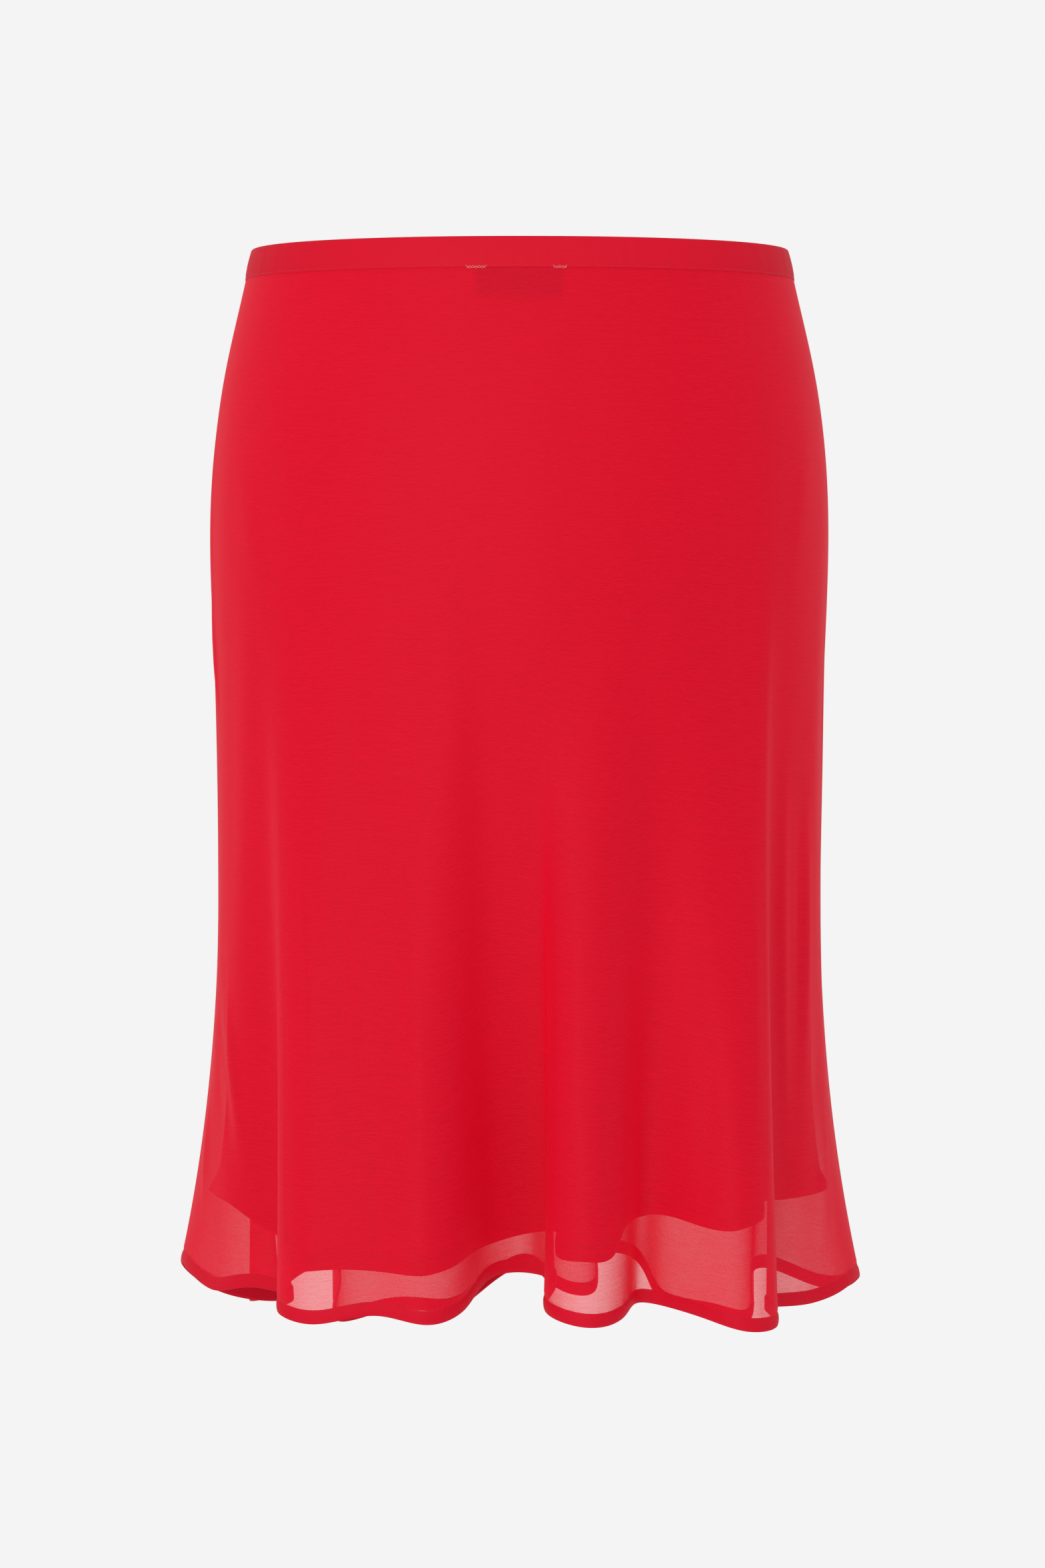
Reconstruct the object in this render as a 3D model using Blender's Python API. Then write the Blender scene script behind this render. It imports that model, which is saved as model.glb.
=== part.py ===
"""Pull-on skirt of sheer crepe over a shorter, opaque lining, filled out as when it is worn.

Metres, +Z up. The origin is the middle of the waist opening, level with the top edge of the band, and the
skirt hangs below it. The wearer's back faces -Y and the front +Y.

Every wall follows one drawn surface: an oval girth at each height, which turns into hanging folds below the
hips. The lining, the hems, the band and the label are the points of that surface moved in or out.
"""

import math

import bmesh
import bpy
import numpy as np

# Heights are given as distances below the top edge of the band.
BAND_HEIGHT = 0.021
SEAM_GAP = 0.0003
BAND_PROUD = 0.0006
BAND_WALL = 0.0034
BAND_EDGE_ROUND = 0.0008
BAND_COLUMNS = 96

CREPE_WALL = 0.0010
CREPE_HEM_TURN = 0.009
CREPE_HEM_WALL = 0.0020

LINING_WALL = 0.0010
LINING_HEM_TURN = 0.013
LINING_HEM_WALL = 0.0018
LINING_GAP_AT_SEAM = 0.0004
# The lining leaves the crepe slowly at first. Above its hem it is narrower at the sides than the crepe is.
LINING_GAP_GROWTH = 1.5
LINING_SIDE_INSET = 0.008
LINING_INSET_GROWTH = 12

LABEL_WIDTH = 0.057
LABEL_HEIGHT = 0.020
LABEL_WALL = 0.0010
LABEL_GAP = 0.0004
LABEL_COLUMNS = 8

COLUMN_SPACING = 0.0130
SEAM_TOP = BAND_HEIGHT + SEAM_GAP
# Both walls have rows at these heights, so that they stay parallel where they lie close.
SHARED_ROWS = (SEAM_TOP, 0.055, 0.100, 0.155, 0.220, 0.300, 0.390, 0.480, 0.560)
# Further rows of each wall, as shares of the way from the last shared row to the top of its hem.
CREPE_LOWER_SHARES = (0.45, 0.80)
LINING_LOWER_SHARES = (0.50,)

# Each cloth's colour and roughness.
CREPE_LOOK = ((0.66, 0.006, 0.020, 1.0), 0.62)
LINING_LOOK = ((0.60, 0.004, 0.016, 1.0), 0.50)
BAND_LOOK = ((0.62, 0.005, 0.018, 1.0), 0.60)
LABEL_LOOK = ((0.020, 0.018, 0.020, 1.0), 0.70)
SHARPEST_SMOOTH_EDGE = math.radians(50)

# The oval girth: how far below the waist, its half width and half depth, and the power of the oval, where 2 is
# an ellipse and more is squarer.
SECTION_COLUMNS = ("name", "below", "half_width", "half_depth", "power")
SECTIONS = (
    ("waist edge", 0.000, 0.1805, 0.1260, 2.12),
    ("band seam", 0.021, 0.1850, 0.1290, 2.12),
    ("high hip", 0.080, 0.1982, 0.1410, 2.14),
    ("hip", 0.172, 0.2078, 0.1520, 2.18),
    ("thigh", 0.290, 0.2050, 0.1530, 2.20),
    ("above knee", 0.420, 0.2032, 0.1510, 2.20),
    ("hem", 0.710, 0.2050, 0.1500, 2.20),
)

# A row for each line down the skirt where the cloth turns: a crest, a rolled lip, a valley or a side. "girth" is
# the line's place on the oval in degrees, 0 at the middle of the back, 90 at the wearer's right side. hem_x,
# hem_y and hem_below are where it meets the hem of the crepe, "start" is how far below the waist it begins to
# leave the oval, and the last two are the lining's distance inside the crepe at its hem and where that hem is.
FOLD_COLUMNS = ("name", "girth", "hem_x", "hem_y", "hem_below", "start", "lining_gap", "lining_below")
FOLDS = (
    ("left side", -90.0, -0.2290, 0.0000, 0.682, 0.430, 0.008, 0.634),
    ("left back panel", -74.0, -0.2060, -0.0520, 0.697, 0.380, 0.008, 0.640),
    ("left back hollow", -64.0, -0.1780, -0.0800, 0.695, 0.300, 0.007, 0.652),
    ("first fold tuck", -56.0, -0.1500, -0.0980, 0.700, 0.240, 0.006, 0.668),
    ("first fold left lip", -50.0, -0.1590, -0.1260, 0.705, 0.240, 0.006, 0.678),
    ("first fold crest", -42.5, -0.1380, -0.1530, 0.712, 0.240, 0.006, 0.679),
    ("first fold dip", -27.0, -0.0920, -0.1560, 0.708, 0.300, 0.006, 0.678),
    ("first fold second crest", -17.5, -0.0620, -0.1650, 0.712, 0.280, 0.006, 0.681),
    ("first fold right wall", -10.5, -0.0360, -0.1410, 0.704, 0.250, 0.006, 0.676),
    ("middle valley", -5.0, -0.0150, -0.1060, 0.684, 0.240, 0.006, 0.664),
    ("middle valley tuck", 1.5, 0.0220, -0.1040, 0.689, 0.260, 0.006, 0.655),
    ("second fold left lip", 5.5, 0.0150, -0.1360, 0.703, 0.260, 0.006, 0.668),
    ("second fold crest", 12.5, 0.0420, -0.1670, 0.713, 0.250, 0.006, 0.672),
    ("second fold right wall", 18.8, 0.0680, -0.1420, 0.709, 0.240, 0.006, 0.668),
    ("right valley", 24.0, 0.0790, -0.1140, 0.702, 0.240, 0.006, 0.645),
    ("third fold slope", 33.0, 0.1120, -0.1300, 0.708, 0.260, 0.006, 0.650),
    ("third fold crest", 44.5, 0.1500, -0.1490, 0.717, 0.240, 0.006, 0.652),
    ("third fold right lip", 50.5, 0.1700, -0.1270, 0.716, 0.210, 0.006, 0.646),
    ("third fold tuck", 55.0, 0.1630, -0.0900, 0.708, 0.220, 0.007, 0.636),
    ("right back panel", 70.0, 0.1930, -0.0540, 0.707, 0.320, 0.008, 0.630),
    ("right side", 90.0, 0.2300, 0.0000, 0.693, 0.430, 0.008, 0.630),
    ("right front panel", 107.0, 0.2060, 0.0480, 0.704, 0.360, 0.008, 0.640),
    ("sixth fold tuck", 121.0, 0.1620, 0.0800, 0.694, 0.270, 0.007, 0.648),
    ("sixth fold right lip", 129.0, 0.1610, 0.1160, 0.729, 0.270, 0.006, 0.654),
    ("sixth fold crest", 138.0, 0.1340, 0.1460, 0.731, 0.260, 0.006, 0.660),
    ("sixth fold left wall", 148.0, 0.0990, 0.1400, 0.721, 0.260, 0.006, 0.658),
    ("right front valley", 155.5, 0.0760, 0.1040, 0.686, 0.260, 0.006, 0.650),
    ("fifth fold tuck", 161.0, 0.0570, 0.1050, 0.686, 0.270, 0.006, 0.650),
    ("fifth fold right wall", 166.0, 0.0540, 0.1320, 0.711, 0.280, 0.006, 0.658),
    ("fifth fold crest", 173.0, 0.0290, 0.1500, 0.714, 0.280, 0.006, 0.664),
    ("front valley", 181.0, 0.0020, 0.1120, 0.693, 0.260, 0.006, 0.658),
    ("fourth fold right wall", 187.5, -0.0280, 0.1340, 0.714, 0.250, 0.006, 0.668),
    ("fourth fold crest", 194.0, -0.0540, 0.1580, 0.729, 0.250, 0.006, 0.674),
    ("fourth fold dip", 203.0, -0.0850, 0.1520, 0.727, 0.290, 0.006, 0.674),
    ("fourth fold second crest", 211.5, -0.1080, 0.1560, 0.731, 0.250, 0.006, 0.674),
    ("fourth fold left lip", 219.5, -0.1290, 0.1270, 0.728, 0.250, 0.006, 0.668),
    ("fourth fold tuck", 225.5, -0.1250, 0.0960, 0.696, 0.270, 0.006, 0.658),
    ("seventh fold right wall", 232.0, -0.1480, 0.1080, 0.698, 0.290, 0.006, 0.654),
    ("seventh fold crest", 238.0, -0.1720, 0.1210, 0.715, 0.300, 0.006, 0.652),
    ("seventh fold left lip", 243.5, -0.1870, 0.1020, 0.716, 0.300, 0.006, 0.650),
    ("left front tuck", 249.5, -0.1650, 0.0760, 0.714, 0.310, 0.007, 0.646),
    ("left front panel", 258.5, -0.2020, 0.0480, 0.708, 0.370, 0.008, 0.640),
)
FULL_TURN = 360.0
# A fold starts softly and then hangs nearly straight: the more, the longer its soft start is.
FOLD_SOFTNESS = 0.30
# The sides leave the oval late, as the flare of the cut does.
SIDES = ("left side", "right side")
SIDE_GROWTH = 2.2


def table_columns(names, table):
    """The table's columns as arrays, by name."""
    return {name: np.array(values) for name, values in zip(names, zip(*table))}


def spline_weights(knots, places, period=None):
    """How much the value at each knot counts at each place on a smooth curve, which may close after a period."""
    count = len(knots)
    starts = np.arange(count if period else count - 1)
    ends = (starts + 1) % count
    gaps = (knots[ends] - knots[starts]) % period if period else np.diff(knots)
    bends, rises = np.zeros((count, count)), np.zeros((count, count))
    for start, end, gap in zip(starts, ends, gaps):
        for here, there, way in ((start, end, 1), (end, start, -1)):
            bends[here, here] += 2 / gap
            bends[here, there] += 1 / gap
            rises[here, here] -= 3 * way / gap**2
            rises[here, there] += 3 * way / gap**2
    slopes = np.linalg.solve(bends, rises)
    if period:
        places = (places - knots[0]) % period + knots[0]
    span = np.clip(np.searchsorted(knots, places, side="right") - 1, 0, len(starts) - 1)
    gap = gaps[span][..., None]
    t = np.clip((places - knots[span]) / gaps[span], 0, 1)[..., None]
    value = np.eye(count)
    return (
        (1 + 2 * t) * (1 - t) ** 2 * value[span]
        + (3 - 2 * t) * t**2 * value[ends[span]]
        + gap * t * (1 - t) ** 2 * slopes[span]
        - gap * t**2 * (1 - t) * slopes[ends[span]]
    )


section = table_columns(SECTION_COLUMNS, SECTIONS)
fold = table_columns(FOLD_COLUMNS, FOLDS)
is_side = np.isin(fold["name"], SIDES)


def on_oval(girth, below):
    """The point (x, y) of the plain oval at a girth in degrees and a distance below the waist."""
    weights = spline_weights(section["below"], below)
    across, along = np.sin(np.radians(girth)), -np.cos(np.radians(girth))
    power = 2.0 / (weights @ section["power"])
    x = weights @ section["half_width"] * np.sign(across) * abs(across) ** power
    y = weights @ section["half_depth"] * np.sign(along) * abs(along) ** power
    return x, y


# How far round the crepe's hem each fold line is, along the straight chords between them.
chords = np.hypot(np.roll(fold["hem_x"], -1) - fold["hem_x"], np.roll(fold["hem_y"], -1) - fold["hem_y"])
HEM_LENGTH = chords.sum()
fold_place = np.cumsum(chords) - chords
left_side, right_side = fold_place[is_side]

# How far each fold line has left the oval at the hem.
oval_x, oval_y = on_oval(fold["girth"], np.full(len(FOLDS), section["below"][-1]))
reach_x, reach_y = fold["hem_x"] - oval_x, fold["hem_y"] - oval_y


def round_hem(places):
    """How much each fold line's value counts at each place round the hem."""
    return spline_weights(fold_place, places, HEM_LENGTH)


def girth_at(places):
    """The girth in degrees whose line down the skirt ends at this place of the hem."""
    even_girth = FULL_TURN * fold_place / HEM_LENGTH
    return round_hem(places) @ (fold["girth"] - even_girth) + FULL_TURN * places / HEM_LENGTH


def growth(below):
    """How much of its reach at the hem each fold line has at a height, from 0 to about 1."""
    share = np.maximum(0, (below[..., None] - fold["start"]) / (fold["hem_below"] - fold["start"]))
    as_fold = share**2 * (1 + FOLD_SOFTNESS) / (share + FOLD_SOFTNESS)
    return np.where(is_side, share**SIDE_GROWTH, as_fold)


def crepe_point(places, below):
    """The point (x, y) of the crepe's outer face at a place round the hem and a distance below the waist."""
    weights = round_hem(places) * growth(below)
    x, y = on_oval(girth_at(places), below)
    return x + weights @ reach_x, y + weights @ reach_y


def inside_crepe(places, below, depth):
    """The point (x, y, z) that lies a depth inside the crepe's outer face."""
    places, below, depth = np.broadcast_arrays(places, below, depth)
    step = COLUMN_SPACING / 4
    x, y = crepe_point(places, below)
    x_before, y_before = crepe_point(places - step, below)
    x_after, y_after = crepe_point(places + step, below)
    along_x, along_y = x_after - x_before, y_after - y_before
    length = np.hypot(along_x, along_y)
    return np.stack([x - along_y / length * depth, y + along_x / length * depth, -below], axis=-1)


def lining_depth(places, below):
    """How deep inside the crepe's outer face the lining's outer face is."""
    weights = round_hem(places)
    share = np.maximum(0, (below - SEAM_TOP) / (weights @ fold["lining_below"] - SEAM_TOP))
    at_seam = CREPE_WALL + LINING_GAP_AT_SEAM
    apart = (weights @ fold["lining_gap"] - LINING_GAP_AT_SEAM) * share**LINING_GAP_GROWTH
    risen = share**LINING_INSET_GROWTH
    inset = LINING_SIDE_INSET * np.maximum(0, weights[..., is_side].sum(axis=-1)) * 4 * risen * (1 - risen)
    return at_seam + apart + np.maximum(0, inset)


def panel_places(start, end):
    """Even places from one side seam to the other, half a seam's gap inside each, as a column."""
    count = round((end - start) / COLUMN_SPACING)
    return np.linspace(start + SEAM_GAP, end - SEAM_GAP, count + 1)[:, None]


def rows_down(hem_below, hem_turn, lower_shares):
    """The heights of a wall's rows for each column: plain cloth, the top of its turned hem, and the hem."""
    hem_top = hem_below - hem_turn
    last = SHARED_ROWS[-1]
    shared = [np.full_like(hem_top, below) for below in SHARED_ROWS]
    lower = [last + share * (hem_top - last) for share in lower_shares]
    return np.hstack([*shared, *lower, hem_top, hem_below])


def wall_depths(below, plain, turned):
    """The wall's thickness at each row: thicker in the last two, where the hem is turned."""
    depths = np.full_like(below, plain)
    depths[:, -2:] = turned
    return depths


def wall(name, outer, inner, look, closed=False):
    """A cloth wall as an object, from two equal grids of points, outer[column, row] and inner[column, row]."""
    columns, rows = outer.shape[:2]
    points = np.concatenate([outer.reshape(-1, 3), inner.reshape(-1, 3)])

    def at(column, row, inside):
        return inside * columns * rows + (column % columns) * rows + row

    faces = []
    for column in range(columns if closed else columns - 1):
        after = column + 1
        for row in range(rows - 1):
            for inside in (0, 1):
                corners = ((column, row), (after, row), (after, row + 1), (column, row + 1))
                faces.append([at(*corner, inside) for corner in corners])
        for row in (0, rows - 1):
            faces.append([at(column, row, 0), at(after, row, 0), at(after, row, 1), at(column, row, 1)])
    for column in () if closed else (0, columns - 1):
        for row in range(rows - 1):
            faces.append([at(column, row, 0), at(column, row + 1, 0), at(column, row + 1, 1), at(column, row, 1)])
    return new_object(name, points.tolist(), faces, look)


def new_object(name, points, faces, look):
    """An object with its own material, whose faces are turned outwards."""
    mesh = bpy.data.meshes.new(name)
    mesh.from_pydata(points, [], faces)
    shape = bmesh.new()
    shape.from_mesh(mesh)
    bmesh.ops.recalc_face_normals(shape, faces=shape.faces)
    shape.to_mesh(mesh)
    shape.free()
    mesh.shade_smooth()
    mesh.set_sharp_from_angle(angle=SHARPEST_SMOOTH_EDGE)
    material = bpy.data.materials.new(name)
    material.use_nodes = True
    surface = material.node_tree.nodes["Principled BSDF"]
    surface.inputs["Base Color"].default_value, surface.inputs["Roughness"].default_value = look
    mesh.materials.append(material)
    piece = bpy.data.objects.new(name, mesh)
    bpy.context.scene.collection.objects.link(piece)
    return piece


def crepe_panel(name, start, end):
    """One panel of sheer crepe, with its narrow turned hem."""
    places = panel_places(start, end)
    below = rows_down(round_hem(places) @ fold["hem_below"], CREPE_HEM_TURN, CREPE_LOWER_SHARES)
    thick = wall_depths(below, CREPE_WALL, CREPE_HEM_WALL)
    return wall(name, inside_crepe(places, below, 0), inside_crepe(places, below, thick), CREPE_LOOK)


def lining_panel(name, start, end):
    """One panel of the lining, with its wider turned hem."""
    places = panel_places(start, end)
    below = rows_down(round_hem(places) @ fold["lining_below"], LINING_HEM_TURN, LINING_LOWER_SHARES)
    depth = lining_depth(places, below)
    inner_depth = depth + wall_depths(below, LINING_WALL, LINING_HEM_WALL)
    return wall(name, inside_crepe(places, below, depth), inside_crepe(places, below, inner_depth), LINING_LOOK)


def waistband():
    """The elasticated casing: a closed ring, folded over at its top edge, which is rounded."""
    places = np.linspace(0, HEM_LENGTH, BAND_COLUMNS, endpoint=False)[:, None]
    below = np.array([[0, BAND_EDGE_ROUND, BAND_HEIGHT]])
    rounding = np.array([[BAND_EDGE_ROUND, 0, 0]])
    outer = inside_crepe(places, below, rounding - BAND_PROUD)
    inner = inside_crepe(places, below, BAND_WALL - BAND_PROUD - rounding)
    return wall("waistband", outer, inner, BAND_LOOK, closed=True)


def label():
    """The blank woven label sewn into the band's seam at the middle of the back, inside the lining."""
    tries = np.linspace(left_side, right_side, round((right_side - left_side) / SEAM_GAP))
    half_width = spline_weights(section["below"], np.array(SEAM_TOP)) @ section["half_width"]
    half_turn = math.degrees(math.asin(LABEL_WIDTH / 2 / half_width))
    start, end = np.interp([-half_turn, half_turn], girth_at(tries), tries)
    places = np.linspace(start, end, LABEL_COLUMNS + 1)[:, None]
    below = SEAM_TOP + LABEL_HEIGHT * np.array([[0, 0.5, 1]])
    depth = lining_depth(places, below) + LINING_WALL + LABEL_GAP
    outer = inside_crepe(places, below, depth)
    inner = inside_crepe(places, below, depth + LABEL_WALL)
    return wall("label", outer, inner, LABEL_LOOK)


def build():
    """Clears the scene and makes the six pieces."""
    for leftover in list(bpy.data.objects):
        bpy.data.objects.remove(leftover)
    waistband()
    crepe_panel("crepe_back", left_side, right_side)
    crepe_panel("crepe_front", right_side, left_side + HEM_LENGTH)
    lining_panel("lining_back", left_side, right_side)
    lining_panel("lining_front", right_side, left_side + HEM_LENGTH)
    label()


build()
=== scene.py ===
"""The looks of a pull-on skirt: sheer red crepe over a shorter, opaque lining, filled out as it is worn.

Metres, +Z up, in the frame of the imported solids: the origin is the middle of the waist opening, level with
the top edge of the band. The wearer's back faces -Y and the front +Y. Every cloth follows the same drawn
surface as its solid, an oval girth that turns into hanging folds below the hips, and adds finer creases.
"""

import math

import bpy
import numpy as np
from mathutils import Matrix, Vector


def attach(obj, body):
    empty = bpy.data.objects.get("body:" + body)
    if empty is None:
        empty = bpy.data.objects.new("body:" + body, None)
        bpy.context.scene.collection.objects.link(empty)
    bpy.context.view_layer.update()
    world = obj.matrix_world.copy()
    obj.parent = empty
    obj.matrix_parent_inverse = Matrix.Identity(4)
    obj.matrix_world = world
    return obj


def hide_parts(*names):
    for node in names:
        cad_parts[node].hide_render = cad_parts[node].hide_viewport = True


bl_info = {
    "name": "Sheer Crepe Skirt",
    "version": (1, 0, 0),
    "blender": (4, 5, 0),
    "location": "View3D > Sidebar > Skirt",
    "description": "Makes the cloths, sewing and label of a lined crepe skirt round its packed solids",
    "category": "Add Mesh",
}

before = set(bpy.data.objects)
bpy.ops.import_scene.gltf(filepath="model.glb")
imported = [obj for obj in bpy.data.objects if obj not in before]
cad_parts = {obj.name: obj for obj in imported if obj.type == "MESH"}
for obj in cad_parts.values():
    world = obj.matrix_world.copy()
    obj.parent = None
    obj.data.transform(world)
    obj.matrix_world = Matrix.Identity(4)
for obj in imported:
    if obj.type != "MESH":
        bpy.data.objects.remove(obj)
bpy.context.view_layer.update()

BODY = "root"
FULL_TURN = 360.0
MILLIMETRE = 0.001

# Heights are given as distances below the top edge of the band, as in the solids.
BAND_HEIGHT = 0.021
SEAM_GAP = 0.0003
SEAM_TOP = BAND_HEIGHT + SEAM_GAP
BAND_PROUD = 0.0006
BAND_WALL = 0.0034
CREPE_WALL = 0.0010
LINING_WALL = 0.0010
LINING_GAP_AT_SEAM = 0.0004
LINING_GAP_GROWTH = 1.5
LINING_SIDE_INSET = 0.008
LINING_INSET_GROWTH = 12
LABEL_WIDTH = 0.057
LABEL_HEIGHT = 0.020
LABEL_GAP = 0.0004
# The cloths run up into the band by this much, and so does the label.
TUCKED_IN = 0.004

# The oval girth: how far below the waist, its half width and half depth, and the power of the oval, where
# 2 is an ellipse and more is squarer.
SECTION_COLUMNS = ("name", "below", "half_width", "half_depth", "power")
SECTIONS = (
    ("waist edge", 0.000, 0.1805, 0.1260, 2.12),
    ("band seam", 0.021, 0.1850, 0.1290, 2.12),
    ("high hip", 0.080, 0.1982, 0.1410, 2.14),
    ("hip", 0.172, 0.2078, 0.1520, 2.18),
    ("thigh", 0.290, 0.2050, 0.1530, 2.20),
    ("above knee", 0.420, 0.2032, 0.1510, 2.20),
    ("hem", 0.710, 0.2050, 0.1500, 2.20),
)

# A row for each line down the skirt where the cloth turns: a crest, a rolled lip, a valley or a side.
# "girth" is the line's place on the oval in degrees, 0 at the middle of the back, 90 at the wearer's right
# side. hem_x, hem_y and hem_below are where it meets the hem of the crepe, "start" is how far below the waist
# it begins to leave the oval, and the last two are the lining's distance inside the crepe at its hem and
# where that hem is.
FOLD_COLUMNS = ("name", "girth", "hem_x", "hem_y", "hem_below", "start", "lining_gap", "lining_below")
FOLDS = (
    ("left side", -90.0, -0.2290, 0.0000, 0.682, 0.430, 0.008, 0.634),
    ("left back panel", -74.0, -0.2060, -0.0520, 0.697, 0.380, 0.008, 0.640),
    ("left back hollow", -64.0, -0.1780, -0.0800, 0.695, 0.300, 0.007, 0.652),
    ("first fold tuck", -56.0, -0.1500, -0.0980, 0.700, 0.240, 0.006, 0.668),
    ("first fold left lip", -50.0, -0.1590, -0.1260, 0.705, 0.240, 0.006, 0.678),
    ("first fold crest", -42.5, -0.1380, -0.1530, 0.712, 0.240, 0.006, 0.679),
    ("first fold dip", -27.0, -0.0920, -0.1560, 0.708, 0.300, 0.006, 0.678),
    ("first fold second crest", -17.5, -0.0620, -0.1650, 0.712, 0.280, 0.006, 0.681),
    ("first fold right wall", -10.5, -0.0360, -0.1410, 0.704, 0.250, 0.006, 0.676),
    ("middle valley", -5.0, -0.0150, -0.1060, 0.684, 0.240, 0.006, 0.664),
    ("middle valley tuck", 1.5, 0.0220, -0.1040, 0.689, 0.260, 0.006, 0.655),
    ("second fold left lip", 5.5, 0.0150, -0.1360, 0.703, 0.260, 0.006, 0.668),
    ("second fold crest", 12.5, 0.0420, -0.1670, 0.713, 0.250, 0.006, 0.672),
    ("second fold right wall", 18.8, 0.0680, -0.1420, 0.709, 0.240, 0.006, 0.668),
    ("right valley", 24.0, 0.0790, -0.1140, 0.702, 0.240, 0.006, 0.645),
    ("third fold slope", 33.0, 0.1120, -0.1300, 0.708, 0.260, 0.006, 0.650),
    ("third fold crest", 44.5, 0.1500, -0.1490, 0.717, 0.240, 0.006, 0.652),
    ("third fold right lip", 50.5, 0.1700, -0.1270, 0.716, 0.210, 0.006, 0.646),
    ("third fold tuck", 55.0, 0.1630, -0.0900, 0.708, 0.220, 0.007, 0.636),
    ("right back panel", 70.0, 0.1930, -0.0540, 0.707, 0.320, 0.008, 0.630),
    ("right side", 90.0, 0.2300, 0.0000, 0.693, 0.430, 0.008, 0.630),
    ("right front panel", 107.0, 0.2060, 0.0480, 0.704, 0.360, 0.008, 0.640),
    ("sixth fold tuck", 121.0, 0.1620, 0.0800, 0.694, 0.270, 0.007, 0.648),
    ("sixth fold right lip", 129.0, 0.1610, 0.1160, 0.729, 0.270, 0.006, 0.654),
    ("sixth fold crest", 138.0, 0.1340, 0.1460, 0.731, 0.260, 0.006, 0.660),
    ("sixth fold left wall", 148.0, 0.0990, 0.1400, 0.721, 0.260, 0.006, 0.658),
    ("right front valley", 155.5, 0.0760, 0.1040, 0.686, 0.260, 0.006, 0.650),
    ("fifth fold tuck", 161.0, 0.0570, 0.1050, 0.686, 0.270, 0.006, 0.650),
    ("fifth fold right wall", 166.0, 0.0540, 0.1320, 0.711, 0.280, 0.006, 0.658),
    ("fifth fold crest", 173.0, 0.0290, 0.1500, 0.714, 0.280, 0.006, 0.664),
    ("front valley", 181.0, 0.0020, 0.1120, 0.693, 0.260, 0.006, 0.658),
    ("fourth fold right wall", 187.5, -0.0280, 0.1340, 0.714, 0.250, 0.006, 0.668),
    ("fourth fold crest", 194.0, -0.0540, 0.1580, 0.729, 0.250, 0.006, 0.674),
    ("fourth fold dip", 203.0, -0.0850, 0.1520, 0.727, 0.290, 0.006, 0.674),
    ("fourth fold second crest", 211.5, -0.1080, 0.1560, 0.731, 0.250, 0.006, 0.674),
    ("fourth fold left lip", 219.5, -0.1290, 0.1270, 0.728, 0.250, 0.006, 0.668),
    ("fourth fold tuck", 225.5, -0.1250, 0.0960, 0.696, 0.270, 0.006, 0.658),
    ("seventh fold right wall", 232.0, -0.1480, 0.1080, 0.698, 0.290, 0.006, 0.654),
    ("seventh fold crest", 238.0, -0.1720, 0.1210, 0.715, 0.300, 0.006, 0.652),
    ("seventh fold left lip", 243.5, -0.1870, 0.1020, 0.716, 0.300, 0.006, 0.650),
    ("left front tuck", 249.5, -0.1650, 0.0760, 0.714, 0.310, 0.007, 0.646),
    ("left front panel", 258.5, -0.2020, 0.0480, 0.708, 0.370, 0.008, 0.640),
)
# A fold starts softly and then hangs nearly straight: the more, the longer its soft start is.
FOLD_SOFTNESS = 0.30
# The sides leave the oval late, as the flare of the cut does.
SIDES = ("left side", "right side")
SIDE_GROWTH = 2.2
NORMAL_STEP = 0.0030

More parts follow.
